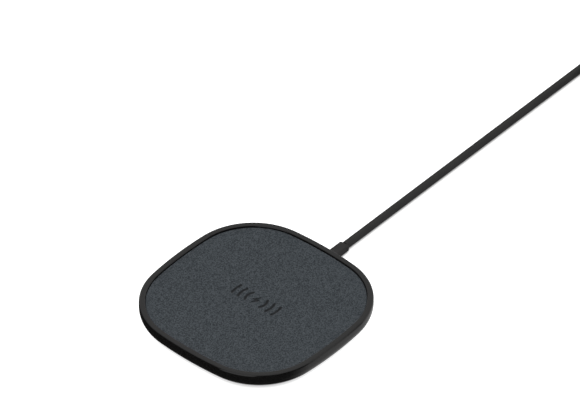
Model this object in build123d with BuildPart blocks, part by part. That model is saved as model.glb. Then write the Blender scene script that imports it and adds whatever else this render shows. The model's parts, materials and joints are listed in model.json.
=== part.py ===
from build123d import *
import math
import os

# Wireless charging pad with a captive lead.
# Millimetres. +Z up, +Y towards the back, where the lead leaves.
# The origin is the centre of the pad's footprint, on the surface it stands on.

os.makedirs("parts", exist_ok=True)

# ---------------------------------------------------------------- dimensions
# Plan outline: a rounded square of eight tangent arcs.
WIDTH = 98.0            # across the flats of the rim, at its widest
SIDE_RADIUS = 184.5     # crown of each side
CORNER_RADIUS = 33.7    # each corner

# Heights
HEIGHT = 10.4           # top of the rim
FOOT_T = 1.3            # rubber foot mat
FOOT_GLUE_T = 0.1
BASE_Z = FOOT_T + FOOT_GLUE_T
COVER_T = 1.2           # floor of the bottom cover
FLOOR_Z = BASE_Z + COVER_T
SPLIT_Z = 2.8           # joint between rim housing and bottom cover
LEDGE_Z = 7.1           # underside of the ledge that carries the top plate
PLATE_Z = 8.1           # top of that ledge, underside of the top plate
PLATE_T = 1.0
FABRIC_GLUE_T = 0.1
FABRIC_T = 0.5
FABRIC_Z = PLATE_Z + PLATE_T + FABRIC_GLUE_T
FABRIC_TOP = FABRIC_Z + FABRIC_T

# Rim housing
BELLY_RADIUS = 6.3      # quarter round under the rim
RIM_EDGE_RADIUS = 0.75  # outer edge of the rim's top
RIM_BAND = 2.95         # widest outline to the rim's inner wall
RIM_INNER_EDGE = 0.4
WALL = 2.0
CAVITY_RADIUS = 4.3     # inside corner, under the wall
LEDGE_INSET = 4.6

# Fits
PLATE_INSET = RIM_BAND + 0.1
FABRIC_INSET = RIM_BAND + 0.15
FOOT_INSET = 8.6

# Screws
COVER_SCREW_XY = 27.0   # four, on the diagonals
BOARD_SCREW_XY = 20.86
CLAMP_SCREW_X = 7.0
CLAMP_Y = 41.0

# Power board
BOARD_Z = 3.6
BOARD_T = 1.0
BOARD_TOP = BOARD_Z + BOARD_T
BOARD_RADIUS = 34.0
BOARD_FLAT = 32.0

# Transmitter coil: litz wire in a flat spiral
WIRE_D = 1.1
COIL_PITCH = 1.2
COIL_START = 9.5        # centreline radius of the first half turn
HALF_TURNS = 20
COIL_TAPE_T = 0.15
COIL_Z = PLATE_Z - COIL_TAPE_T - WIRE_D / 2
FERRITE_R = 25.0
FERRITE_T = 0.8
FERRITE_TOP = 6.73
FILM_T = 0.1
INNER_LEAD_XY = (6.6, -4.2)

# Lead
CORD_D = 3.9
CORD_Z = CORD_D / 2
STUB_W = 5.9            # strain relief, across
STUB_H = 3.7
STUB_END = 62.5
STUB_START = 41.6
SLOT_GAP = 0.12

# The lead's put-away length: two layers of turns wound flat
COIL_R_OUT = 31.5       # centreline radius of the outermost turn
COIL_R_IN = 15.0
COIL_CX = COIL_R_OUT    # so that the straight lead runs onto the outermost turn
COIL_CY = 250.0
COIL_LAYERS = 2
CORD_STRAIGHT_END = 245.0
TAIL = [
    (37.5, 281.5, 5.85),
    (50.0, 281.5, 5.85),
    (64.0, 275.5, 3.2),
    (73.0, 264.0, 2.4),
    (76.0, 250.5, 3.9),
    (76.0, 243.0, 3.9),
]
TIE_W = 10.0
TIE_T = 0.8

# Plug on the lead
PLUG_X = 76.0
PLUG_Z = 3.9
PLUG_BOOT = 9.0
PLUG_BODY = (15.6, 24.0, 7.8)
SHELL = (12.0, 18.75, 4.5)
SHELL_T = 0.3


# ------------------------------------------------------------------- outline
def pillow(inset):
    """Rounded square inset from the widest outline; arcs stay tangent and concentric."""
    a = WIDTH / 2 - inset
    big = SIDE_RADIUS - inset
    small = CORNER_RADIUS - inset
    # Corner centre (c, c): the corner arc touches the side arc from inside.
    k = big - a
    c = (-2 * k + math.sqrt(4 * k * k - 8 * (k * k - (big - small) ** 2))) / 4
    half = math.degrees(math.atan2(c, c + k))
    with BuildSketch() as outline:
        with BuildLine():
            for turn in range(4):
                q = math.radians(90 * turn)
                side = (-k * math.cos(q), -k * math.sin(q))
                corner = (
                    c * math.cos(q) - c * math.sin(q),
                    c * math.sin(q) + c * math.cos(q),
                )
                CenterArc(side, big, 90 * turn - half, 2 * half)
                CenterArc(corner, small, 90 * turn + half, 90 - 2 * half)
        make_face()
    return outline.sketch


def facing_back(y, z=0.0, x=0.0):
    """Plane whose normal points to +Y, for profiles along the lead."""
    return Plane(origin=(x, y, z), x_dir=(1, 0, 0), z_dir=(0, 1, 0))


# Outer form of the whole housing, and the space inside it.
with BuildPart() as housing_form:
    with BuildSketch(Plane.XY.offset(BASE_Z)):
        add(pillow(0))
    extrude(amount=HEIGHT - BASE_Z)
    fillet(housing_form.faces().sort_by(Axis.Z)[0].edges(), BELLY_RADIUS)
    fillet(housing_form.faces().sort_by(Axis.Z)[-1].edges(), RIM_EDGE_RADIUS)

with BuildPart() as cavity:
    with BuildSketch(Plane.XY.offset(FLOOR_Z)):
        add(pillow(WALL))
    extrude(amount=LEDGE_Z - FLOOR_Z)
    fillet(cavity.faces().sort_by(Axis.Z)[0].edges(), CAVITY_RADIUS)

COVER_SCREWS = [
    (x, y) for x in (-COVER_SCREW_XY, COVER_SCREW_XY) for y in (-COVER_SCREW_XY, COVER_SCREW_XY)
]
BOARD_SCREWS = [
    (x, y) for x in (-BOARD_SCREW_XY, BOARD_SCREW_XY) for y in (-BOARD_SCREW_XY, BOARD_SCREW_XY)
]
CLAMP_SCREWS = [(-CLAMP_SCREW_X, CLAMP_Y), (CLAMP_SCREW_X, CLAMP_Y)]
PIPE_X = 12.0
PIPE_Z = 5.5
PIPE_D = 1.6

# ------------------------------------------------------------------- housing
with BuildPart() as rim_housing:
    add(housing_form.part)
    add(cavity.part, mode=Mode.SUBTRACT)
    # Thickened seat behind the wall, which the strain relief's collar bears on.
    with BuildSketch(Plane.XY.offset(SPLIT_Z)):
        with Locations((0, 45.0)):
            Rectangle(15, 3.4)
    extrude(amount=LEDGE_Z - SPLIT_Z)
    split(bisect_by=Plane.XY.offset(SPLIT_Z), keep=Keep.TOP)
    with BuildSketch(Plane.XY.offset(LEDGE_Z)):
        add(pillow(LEDGE_INSET))
    extrude(amount=HEIGHT, mode=Mode.SUBTRACT)
    with BuildSketch(Plane.XY.offset(PLATE_Z)):
        add(pillow(RIM_BAND))
    extrude(amount=HEIGHT, mode=Mode.SUBTRACT)
    fillet(
        rim_housing.edges().group_by(Axis.Z)[-1].sort_by(Axis.X)[1:-1].filter_by(
            lambda e: e.radius < SIDE_RADIUS - RIM_EDGE_RADIUS - 0.5
            and abs(e.radius - (CORNER_RADIUS - RIM_EDGE_RADIUS)) > 0.5
        ),
        RIM_INNER_EDGE,
    )
    # Way out for the strain relief, open to the bottom.
    with BuildSketch(facing_back(40.0, CORD_Z)):
        RectangleRounded(STUB_W + 2 * SLOT_GAP, STUB_H + 2 * SLOT_GAP, 1.6)
    extrude(amount=12, mode=Mode.SUBTRACT)
    # Hole for the light pipe.
    with BuildSketch(facing_back(44.0, PIPE_Z, PIPE_X)):
        Circle(PIPE_D / 2 + 0.05)
    extrude(amount=8, mode=Mode.SUBTRACT)

with BuildPart() as bottom_cover:
    add(housing_form.part)
    split(bisect_by=Plane.XY.offset(SPLIT_Z), keep=Keep.BOTTOM)
    add(cavity.part, mode=Mode.SUBTRACT)
    # Lip that centres the cover inside the rim housing.
    with BuildSketch(Plane.XY.offset(FLOOR_Z)):
        add(pillow(5.3))
        add(pillow(6.3), mode=Mode.SUBTRACT)
        with Locations((0, 44)):
            Rectangle(16, 8, mode=Mode.SUBTRACT)
    extrude(amount=1.0)
    # Screw towers, and posts for the cable clamp.
    with BuildSketch(Plane.XY.offset(FLOOR_Z)):
        with Locations(*COVER_SCREWS):
            Circle(3.2)
    extrude(amount=1.2)
    with BuildSketch(Plane.XY.offset(FLOOR_Z)):
        with Locations(*CLAMP_SCREWS):
            Circle(1.9)
    extrude(amount=3.2)
    # Counterbored clearance holes, and pilot holes in the posts.
    with BuildSketch(Plane.XY.offset(BASE_Z)):
        with Locations(*COVER_SCREWS):
            Circle(2.15)
    extrude(amount=1.25, mode=Mode.SUBTRACT)
    with BuildSketch(Plane.XY.offset(BASE_Z)):
        with Locations(*COVER_SCREWS):
            Circle(1.2)
    extrude(amount=5, mode=Mode.SUBTRACT)
    with BuildSketch(Plane.XY.offset(FLOOR_Z + 0.3)):
        with Locations(*CLAMP_SCREWS):
            Circle(0.82)
    extrude(amount=5, mode=Mode.SUBTRACT)
    # Notch under the strain relief.
    with BuildSketch(facing_back(STUB_START - 0.15, CORD_Z)):
        RectangleRounded(STUB_W + 2 * SLOT_GAP, STUB_H + 2 * SLOT_GAP, 1.6)
    extrude(amount=12, mode=Mode.SUBTRACT)

with BuildPart() as foot_mat:
    with BuildSketch():
        add(pillow(FOOT_INSET))
    extrude(amount=FOOT_T)
    fillet(foot_mat.faces().sort_by(Axis.Z)[0].edges(), 0.3)

with BuildPart() as foot_adhesive:
    with BuildSketch(Plane.XY.offset(FOOT_T)):
        add(pillow(FOOT_INSET + 0.4))
    extrude(amount=FOOT_GLUE_T)

# ---------------------------------------------------------------- top surface
with BuildPart() as top_plate:
    with BuildSketch(Plane.XY.offset(PLATE_Z)):
        add(pillow(PLATE_INSET))
    extrude(amount=PLATE_T)
    # Towers for the cover screws and the board screws.
    with BuildSketch(Plane.XY.offset(FLOOR_Z + 1.2)):
        with Locations(*COVER_SCREWS):
            Circle(2.6)
    extrude(amount=PLATE_Z - FLOOR_Z - 1.2)
    with BuildSketch(Plane.XY.offset(BOARD_TOP)):
        with Locations(*BOARD_SCREWS):
            Circle(2.0)
    extrude(amount=PLATE_Z - BOARD_TOP)
    # Wall round the ferrite sheet, open where the coil's outer lead leaves.
    with BuildSketch(Plane.XY.offset(6.2)):
        Circle(FERRITE_R + 1.2)
        Circle(FERRITE_R + 0.3, mode=Mode.SUBTRACT)
        with Locations((25, 6)):
            Rectangle(14, 16, mode=Mode.SUBTRACT)
    extrude(amount=PLATE_Z - 6.2)
    with BuildSketch(Plane.XY.offset(FLOOR_Z + 1.2)):
        with Locations(*COVER_SCREWS):
            Circle(1.02)
    extrude(amount=3.9, mode=Mode.SUBTRACT)
    with BuildSketch(Plane.XY.offset(BOARD_TOP)):
        with Locations(*BOARD_SCREWS):
            Circle(0.82)
    extrude(amount=3.0, mode=Mode.SUBTRACT)

with BuildPart() as fabric_adhesive:
    with BuildSketch(Plane.XY.offset(PLATE_Z + PLATE_T)):
        add(pillow(FABRIC_INSET + 0.3))
    extrude(amount=FABRIC_GLUE_T)

with BuildPart() as fabric_top:
    with BuildSketch(Plane.XY.offset(FABRIC_Z)):
        add(pillow(FABRIC_INSET))
    extrude(amount=FABRIC_T)
    fillet(fabric_top.faces().sort_by(Axis.Z)[-1].edges(), 0.3)

# ------------------------------------------------------------ coil and ferrite
with BuildPart() as charging_coil:
    with BuildLine(Plane.XY.offset(COIL_Z)) as turns:
        # Two-centre spiral: each half turn is larger than the last by half a pitch.
        for k in range(HALF_TURNS):
            CenterArc(
                ((k % 2) * COIL_PITCH / 2, 0),
                COIL_START + k * COIL_PITCH / 2,
                180 * (k % 2),
                180,
            )
    with BuildSketch(
        Plane(origin=(COIL_START, 0, COIL_Z), x_dir=(1, 0, 0), z_dir=(0, 1, 0))
    ):
        Circle(WIRE_D / 2)
    sweep()

COIL_END = COIL_START + HALF_TURNS * COIL_PITCH / 2
with BuildPart() as coil_leads:
    with BuildLine() as outer_lead:
        FilletPolyline(
            (COIL_END, 0.02, COIL_Z),
            (COIL_END, 4.0, COIL_Z),
            (28.2, 9.0, COIL_Z),
            (28.2, 9.0, BOARD_TOP),
            radius=1.2,
        )
    with BuildSketch(
        Plane(origin=(COIL_END, 0.02, COIL_Z), x_dir=(1, 0, 0), z_dir=(0, 1, 0))
    ):
        Circle(WIRE_D / 2)
    sweep()
    with BuildLine() as inner_lead:
        FilletPolyline(
            (COIL_START, -0.02, COIL_Z),
            (COIL_START, -1.3, COIL_Z),
            (INNER_LEAD_XY[0], INNER_LEAD_XY[1], COIL_Z),
            (INNER_LEAD_XY[0], INNER_LEAD_XY[1], BOARD_TOP),
            radius=0.9,
        )
    with BuildSketch(
        Plane(origin=(COIL_START, -0.02, COIL_Z), x_dir=(1, 0, 0), z_dir=(0, -1, 0))
    ):
        Circle(WIRE_D / 2)
    sweep()

with BuildPart() as coil_tape:
    with BuildSketch(Plane.XY.offset(PLATE_Z - COIL_TAPE_T)):
        Circle(22.6)
        Circle(8.8, mode=Mode.SUBTRACT)
    extrude(amount=COIL_TAPE_T)


def ferrite_outline(radius):
    """Disc with the hole for the sensor's wires and the way down for the inner lead."""
    with BuildSketch() as disc:
        Circle(radius)
        Circle(2.2, mode=Mode.SUBTRACT)
        with Locations(INNER_LEAD_XY):
            Circle(0.95, mode=Mode.SUBTRACT)
    return disc.sketch


with BuildPart() as ferrite_sheet:
    with BuildSketch(Plane.XY.offset(FERRITE_TOP - FERRITE_T)):
        add(ferrite_outline(FERRITE_R))
    extrude(amount=FERRITE_T)

with BuildPart() as ferrite_adhesive:
    with BuildSketch(Plane.XY.offset(FERRITE_TOP)):
        add(ferrite_outline(FERRITE_R - 0.5))
    extrude(amount=0.1)

with BuildPart() as insulation_film:
    with BuildSketch(Plane.XY.offset(FERRITE_TOP - FERRITE_T - FILM_T)):
        add(ferrite_outline(FERRITE_R - 0.1))
    extrude(amount=FILM_T)

with BuildPart() as temperature_sensor:
    with BuildSketch(Plane.XY.offset(PLATE_Z - 0.9)):
        SlotOverall(2.8, 1.5)
    extrude(amount=0.9)
    with BuildSketch(Plane.XY.offset(BOARD_TOP)):
        with Locations((-0.6, 0), (0.6, 0)):
            Circle(0.2)
    extrude(amount=PLATE_Z - 0.8 - BOARD_TOP)

# ----------------------------------------------------------------- power board
with BuildPart() as circuit_board:
    with BuildSketch(Plane.XY.offset(BOARD_Z)):
        Circle(BOARD_RADIUS)
        Rectangle(2 * BOARD_RADIUS, 2 * BOARD_FLAT, mode=Mode.INTERSECT)
        with Locations(*BOARD_SCREWS):
            Circle(1.1, mode=Mode.SUBTRACT)
        # Locating notch on one side.
        with Locations((-BOARD_RADIUS, 12)):
            Circle(1.5, mode=Mode.SUBTRACT)
    extrude(amount=BOARD_T)


def on_board(size, spots, rounding=0.0):
    """Rectangular packages standing on the board at the given places."""
    with BuildPart() as chips:
        with BuildSketch(Plane.XY.offset(BOARD_TOP)):
            with Locations(*spots):
                if rounding:
                    RectangleRounded(size[0], size[1], rounding)
                else:
                    Rectangle(size[0], size[1])
        extrude(amount=size[2])
    return chips.part


with BuildPart() as controller_chip:
    add(on_board((7.0, 7.0, 0.85), [(-9.0, 9.0)]))
    chamfer(controller_chip.faces().sort_by(Axis.Z)[-1].edges(), 0.12)
    with BuildSketch(Plane.XY.offset(BOARD_TOP + 0.85)):
        with Locations((-11.6, 11.6)):
            Circle(0.35)
    extrude(amount=-0.1, mode=Mode.SUBTRACT)

with BuildPart() as power_transistors:
    add(on_board((5.0, 6.0, 1.0), [(10.0, -13.0), (17.0, -13.0)]))
    chamfer(power_transistors.faces().group_by(Axis.Z)[-1].edges(), 0.12)

with BuildPart() as resonant_capacitors:
    add(on_board((3.2, 2.5, 2.0), [(29.2, y) for y in (-10.0, -6.7, -3.4, -0.1)]))
    fillet(resonant_capacitors.edges().filter_by(Axis.Z), 0.25)

with BuildPart() as filter_inductor:
    add(on_board((6.0, 6.0, 2.6), [(-29.2, 0.0)], rounding=1.2))
    chamfer(filter_inductor.faces().sort_by(Axis.Z)[-1].edges(), 0.3)
    # Gap between the ferrite drum's flanges.
    with BuildSketch(Plane.XY.offset(BOARD_TOP + 0.7)):
        with Locations((-29.2, 0.0)):
            RectangleRounded(8, 8, 1.2)
            Circle(2.5, mode=Mode.SUBTRACT)
    extrude(amount=1.2, mode=Mode.SUBTRACT)

with BuildPart() as bulk_capacitors:
    add(on_board((2.0, 1.25, 1.1), [(x, y) for x in (-18.0, -14.8, -11.6) for y in (-6.0, -8.2, -10.4, -12.6)]))

with BuildPart() as chip_resistors:
    add(on_board((1.6, 0.8, 0.5), [(x, y) for x in (-3.0, -0.6, 1.8, 4.2) for y in (10.0, 11.6, 13.2)]))

with BuildPart() as status_led:
    add(on_board((1.6, 1.0, 1.3), [(PIPE_X, 30.6)]))

with BuildPart() as light_pipe:
    with BuildSketch(facing_back(31.3, PIPE_Z, PIPE_X)):
        Circle(PIPE_D / 2)
    extrude(amount=20)
    with BuildSketch(facing_back(43.2, PIPE_Z, PIPE_X)):
        Circle(PIPE_D / 2 + 0.5)
    extrude(amount=0.8)
    # Its outer end is flush with the wall.
    add(housing_form.part, mode=Mode.INTERSECT)

with BuildPart() as heat_spreader:
    with BuildSketch(Plane.XY.offset(FLOOR_Z)):
        Circle(25)
    extrude(amount=0.3)

with BuildPart() as thermal_pad:
    with BuildSketch(Plane.XY.offset(FLOOR_Z + 0.3)):
        with Locations((12.0, -12.0)):
            RectangleRounded(16, 12, 0.6)
    extrude(amount=BOARD_Z - FLOOR_Z - 0.3)

# ------------------------------------------------------------------- fasteners
def screw(head_d, head_h, shank_d, length, point_up=True):
    """Pan-head screw, its head's seat at the origin, shank towards +Z."""
    with BuildPart() as one:
        with BuildSketch(Plane.XY.offset(-head_h)):
            Circle(head_d / 2)
        extrude(amount=head_h)
        fillet(one.faces().sort_by(Axis.Z)[0].edges(), min(0.3, head_h * 0.4))
        with BuildSketch():
            Circle(shank_d / 2)
        extrude(amount=length)
        chamfer(one.faces().sort_by(Axis.Z)[-1].edges(), shank_d * 0.2)
        with BuildSketch(Plane.XY.offset(-head_h)):
            Rectangle(head_d * 0.55, head_d * 0.13)
            Rectangle(head_d * 0.13, head_d * 0.55)
        extrude(amount=head_h * 0.5, mode=Mode.SUBTRACT)
    if point_up:
        return one.part
    return one.part.rotate(Axis.X, 180)


with BuildPart() as cover_screws:
    with Locations(*[(x, y, BASE_Z + 1.25) for x, y in COVER_SCREWS]):
        add(screw(4.0, 1.1, 2.0, 4.7))

with BuildPart() as board_screws:
    with Locations(*[(x, y, BOARD_Z) for x, y in BOARD_SCREWS]):
        add(screw(3.4, 0.7, 1.6, 3.6))

# ------------------------------------------------------- lead, inside the pad
with BuildPart() as strain_relief:
    # Stub outside the wall.
    with BuildSketch(facing_back(STUB_START, CORD_Z)):
        RectangleRounded(STUB_W, STUB_H, 1.5)
    extrude(amount=STUB_END - STUB_START)
    fillet(strain_relief.faces().sort_by(Axis.Y)[-1].edges(), 0.8)
    # Underside rises to meet the cover, which is clear of the surface.
    with BuildSketch(Plane.YZ.offset(-5)):
        with BuildLine():
            Polyline(
                (41.0, -1.0), (41.0, BASE_Z), (STUB_START, BASE_Z), (46.0, CORD_Z - STUB_H / 2),
                (46.0, -1.0), close=True,
            )
        make_face()
    extrude(amount=10, mode=Mode.SUBTRACT)
    # Collar inside the housing, between the cover's floor and the clamp.
    with BuildSketch(Plane.XY.offset(FLOOR_Z + 0.05)):
        with Locations((0, 40.5)):
            RectangleRounded(9.0, 5.4, 0.6)
    extrude(amount=3.1)

WIRE_X = (-3.0, -1.0, 1.0, 3.0)
WIRE_Z = BOARD_TOP + 0.55
with BuildPart() as supply_wires:
    with BuildSketch(facing_back(29.6, WIRE_Z)):
        with Locations(*[(x, 0) for x in WIRE_X]):
            Circle(0.5)
    extrude(amount=37.8 - 29.6)

with BuildPart() as cable_clamp:
    with BuildSketch(Plane.XY.offset(FLOOR_Z + 3.2)):
        with Locations((0, CLAMP_Y)):
            SlotOverall(19, 4.6)
        with Locations(*CLAMP_SCREWS):
            Circle(0.95, mode=Mode.SUBTRACT)
    extrude(amount=0.8)

with BuildPart() as clamp_screws:
    with Locations(*[(x, y, FLOOR_Z + 4.0) for x, y in CLAMP_SCREWS]):
        add(screw(3.2, 1.0, 1.6, 3.4, point_up=False))

# -------------------------------------------------- lead, outside the pad
with BuildPart() as power_cord:
    with BuildSketch(facing_back(STUB_END, CORD_Z)):
        Circle(CORD_D / 2)
    extrude(amount=CORD_STRAIGHT_END - STUB_END)

COIL_TOP = CORD_D * COIL_LAYERS
with BuildPart() as cord_coil:
    with BuildSketch(Plane(origin=(COIL_CX, COIL_CY, 0), x_dir=(1, 0, 0), z_dir=(0, -1, 0))):
        with Locations(((COIL_R_IN + COIL_R_OUT) / 2, COIL_TOP / 2)):
            RectangleRounded(COIL_R_OUT - COIL_R_IN + CORD_D, COIL_TOP, 1.9)
    revolve(axis=Axis((COIL_CX, COIL_CY, 0), (0, 0, 1)))
    # Where the straight lead runs onto the outermost turn.
    with BuildSketch(Plane.XY.offset(-1)):
        with Locations(((-4 + CORD_D / 2 + 0.05) / 2, (225 + CORD_STRAIGHT_END) / 2)):
            Rectangle(4 + CORD_D / 2 + 0.05, CORD_STRAIGHT_END - 225)
    extrude(amount=CORD_D + 1.05, mode=Mode.SUBTRACT)
    # Where the upper layer's outermost turn leaves for the plug.
    with BuildSketch(Plane.XY.offset(CORD_D - 0.5)):
        with Locations(((TAIL[0][0] + 64) / 2, 284.5)):
            Rectangle(64 - TAIL[0][0], 2 * (284.5 - 278.6))
    extrude(amount=10, mode=Mode.SUBTRACT)
    # Flattened underneath by the tie.
    with BuildSketch(Plane.XY.offset(-1)):
        with Locations((COIL_CX, COIL_CY - 23)):
            Rectangle(TIE_W + 0.3, 26)
    extrude(amount=1 + TIE_T + 0.05, mode=Mode.SUBTRACT)


def arc_radii(points):
    """Largest tangent arc at each corner: 0.45 of the shorter run over tan(half turn)."""
    corners = [Vector(*p) for p in points]
    radii = []
    for before, here, after in zip(corners, corners[1:], corners[2:]):
        run_in, run_out = here - before, after - here
        half = math.radians(run_in.get_angle(run_out)) / 2
        radii.append(0.45 * min(run_in.length, run_out.length) / math.tan(half))
    return radii


with BuildPart() as cord_tail:
    with BuildLine() as tail_path:
        FilletPolyline(*TAIL, radius=arc_radii(TAIL))
    with BuildSketch(Plane(origin=tail_path.line @ 0, z_dir=tail_path.line % 0)):
        Circle(CORD_D / 2)
    sweep()

with BuildPart() as cord_tie:
    with BuildSketch(Plane.YZ.offset(COIL_CX - TIE_W / 2)):
        with Locations((COIL_CY - 22.7, (COIL_TOP + 0.05 + TIE_T) / 2)):
            RectangleRounded(21.7 + 2 * TIE_T, COIL_TOP + 0.05 + TIE_T, 1.3)
        with Locations((COIL_CY - 22.7, (COIL_TOP + 0.05 + TIE_T) / 2)):
            RectangleRounded(21.7, COIL_TOP + 0.05 - TIE_T, 0.5, mode=Mode.SUBTRACT)
    extrude(amount=TIE_W)

# ------------------------------------------------------------------------ plug
PLUG_Y = TAIL[-1][1]
BODY_Y = PLUG_Y - PLUG_BOOT
FACE_Y = BODY_Y - PLUG_BODY[1]
with BuildPart() as usb_plug_body:
    with BuildSketch(facing_back(FACE_Y, PLUG_Z, PLUG_X)):
        RectangleRounded(PLUG_BODY[0], PLUG_BODY[2], 1.6)
    extrude(amount=PLUG_BODY[1])
    fillet(usb_plug_body.faces().sort_by(Axis.Y)[-1].edges(), 1.4)
    fillet(usb_plug_body.faces().sort_by(Axis.Y)[0].edges(), 0.5)
    # Boot that tapers down to the lead.
    with BuildSketch(facing_back(BODY_Y, PLUG_Z, PLUG_X)):
        Circle(3.2)
    with BuildSketch(facing_back(PLUG_Y, PLUG_Z, PLUG_X)):
        Circle(2.5)
    loft()
    # Thumb grip on both faces.
    with BuildSketch(Plane.XY.offset(PLUG_Z + PLUG_BODY[2] / 2)):
        with Locations(*[(PLUG_X, BODY_Y - 7.0 - 2.0 * k) for k in range(5)]):
            SlotOverall(9.0, 0.8)
    extrude(amount=-0.35, mode=Mode.SUBTRACT)

with BuildPart() as usb_plug_shell:
    with BuildSketch(facing_back(FACE_Y, PLUG_Z, PLUG_X)):
        RectangleRounded(SHELL[0], SHELL[2], 0.5)
        RectangleRounded(SHELL[0] - 2 * SHELL_T, SHELL[2] - 2 * SHELL_T, 0.25, mode=Mode.SUBTRACT)
    extrude(amount=-SHELL[1])
    # Latch windows in both broad faces.
    with BuildSketch(Plane.XY):
        with Locations((PLUG_X - 2.9, FACE_Y - 10.0), (PLUG_X + 2.9, FACE_Y - 10.0)):
            Rectangle(2.3, 2.3)
    extrude(amount=10, mode=Mode.SUBTRACT)

TONGUE_Z = PLUG_Z - SHELL[2] / 2 + SHELL_T
with BuildPart() as usb_plug_tongue:
    with BuildSketch(Plane.XY.offset(TONGUE_Z + 0.02)):
        with Locations((PLUG_X, FACE_Y - 8.9)):
            Rectangle(SHELL[0] - 2 * SHELL_T - 0.5, 17.8)
    extrude(amount=1.7)
    with BuildSketch(Plane.XY.offset(TONGUE_Z + 1.52)):
        with Locations(*[(PLUG_X + x, FACE_Y - 10.6) for x in (-3.5, -1.0, 1.0, 3.5)]):
            Rectangle(1.3, 11.6)
    extrude(amount=0.3, mode=Mode.SUBTRACT)

with BuildPart() as usb_plug_contacts:
    with BuildSketch(Plane.XY.offset(TONGUE_Z + 1.52)):
        with Locations((PLUG_X - 3.5, FACE_Y - 9.6), (PLUG_X + 3.5, FACE_Y - 9.6)):
            Rectangle(1.1, 8.4)
        with Locations((PLUG_X - 1.0, FACE_Y - 9.1), (PLUG_X + 1.0, FACE_Y - 9.1)):
            Rectangle(1.1, 7.4)
    extrude(amount=0.25)

# ---------------------------------------------------------------------- output
NODES = {
    "fabric_top": fabric_top,
    "fabric_adhesive": fabric_adhesive,
    "top_plate": top_plate,
    "rim_housing": rim_housing,
    "bottom_cover": bottom_cover,
    "foot_mat": foot_mat,
    "foot_adhesive": foot_adhesive,
    "charging_coil": charging_coil,
    "coil_leads": coil_leads,
    "coil_tape": coil_tape,
    "ferrite_sheet": ferrite_sheet,
    "ferrite_adhesive": ferrite_adhesive,
    "insulation_film": insulation_film,
    "temperature_sensor": temperature_sensor,
    "circuit_board": circuit_board,
    "controller_chip": controller_chip,
    "power_transistors": power_transistors,
    "resonant_capacitors": resonant_capacitors,
    "filter_inductor": filter_inductor,
    "bulk_capacitors": bulk_capacitors,
    "chip_resistors": chip_resistors,
    "status_led": status_led,
    "light_pipe": light_pipe,
    "heat_spreader": heat_spreader,
    "thermal_pad": thermal_pad,
    "cover_screws": cover_screws,
    "board_screws": board_screws,
    "strain_relief": strain_relief,
    "supply_wires": supply_wires,
    "cable_clamp": cable_clamp,
    "clamp_screws": clamp_screws,
    "power_cord": power_cord,
    "cord_coil": cord_coil,
    "cord_tail": cord_tail,
    "cord_tie": cord_tie,
    "usb_plug_body": usb_plug_body,
    "usb_plug_shell": usb_plug_shell,
    "usb_plug_tongue": usb_plug_tongue,
    "usb_plug_contacts": usb_plug_contacts,
}
for name, builder in NODES.items():
    builder.part.label = name
    export_step(builder.part, f"parts/{name}.step")

# Lead: radii of the tail's arcs, and volume against section times length.
section = math.pi * CORD_D**2 / 4
tail_length = sum(edge.length for edge in tail_path.edges())
print("tail radii", [round(r, 1) for r in arc_radii(TAIL)], "least allowed", 5 * CORD_D)
print(
    "tail volume", round(cord_tail.part.volume, 1),
    "section x length", round(section * tail_length, 1),
)
straight = CORD_STRAIGHT_END - STUB_END
print("straight volume", round(power_cord.part.volume, 1), "section x length", round(section * straight, 1))
turns_count = 2 * (COIL_R_OUT - COIL_R_IN) / 4.0
wound = turns_count * math.pi * (COIL_R_OUT + COIL_R_IN)
print(
    "lead length", round(straight + (COIL_CY - CORD_STRAIGHT_END) + wound + (TAIL[0][0] - COIL_CX) + tail_length, 1),
    "turns", turns_count,
)
print("nodes", len(NODES))
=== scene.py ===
import json
import math

import bmesh
import bpy
from mathutils import Matrix, Vector


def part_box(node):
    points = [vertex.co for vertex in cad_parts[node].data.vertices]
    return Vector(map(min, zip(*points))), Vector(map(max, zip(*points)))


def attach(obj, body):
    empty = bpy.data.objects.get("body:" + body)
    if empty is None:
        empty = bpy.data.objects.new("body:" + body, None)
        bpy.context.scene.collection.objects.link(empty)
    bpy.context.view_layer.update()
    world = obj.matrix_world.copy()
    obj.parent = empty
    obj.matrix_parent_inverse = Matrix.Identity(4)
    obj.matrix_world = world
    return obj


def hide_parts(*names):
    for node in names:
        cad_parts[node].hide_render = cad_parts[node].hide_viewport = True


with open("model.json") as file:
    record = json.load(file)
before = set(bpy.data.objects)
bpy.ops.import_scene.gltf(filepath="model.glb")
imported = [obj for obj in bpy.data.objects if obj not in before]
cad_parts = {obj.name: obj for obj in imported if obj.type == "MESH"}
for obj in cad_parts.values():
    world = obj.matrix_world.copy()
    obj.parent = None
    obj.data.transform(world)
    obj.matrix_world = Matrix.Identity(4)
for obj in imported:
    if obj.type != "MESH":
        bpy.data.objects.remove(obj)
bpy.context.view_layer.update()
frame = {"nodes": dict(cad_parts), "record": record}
nodes = frame["nodes"]
record = frame["record"]
MM = 0.001
scene = bpy.context.scene
scene.view_settings.view_transform = "Standard"
scene.view_settings.look = "None"
scene.view_settings.exposure = 0.0
scene.view_settings.gamma = 1.0

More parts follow.
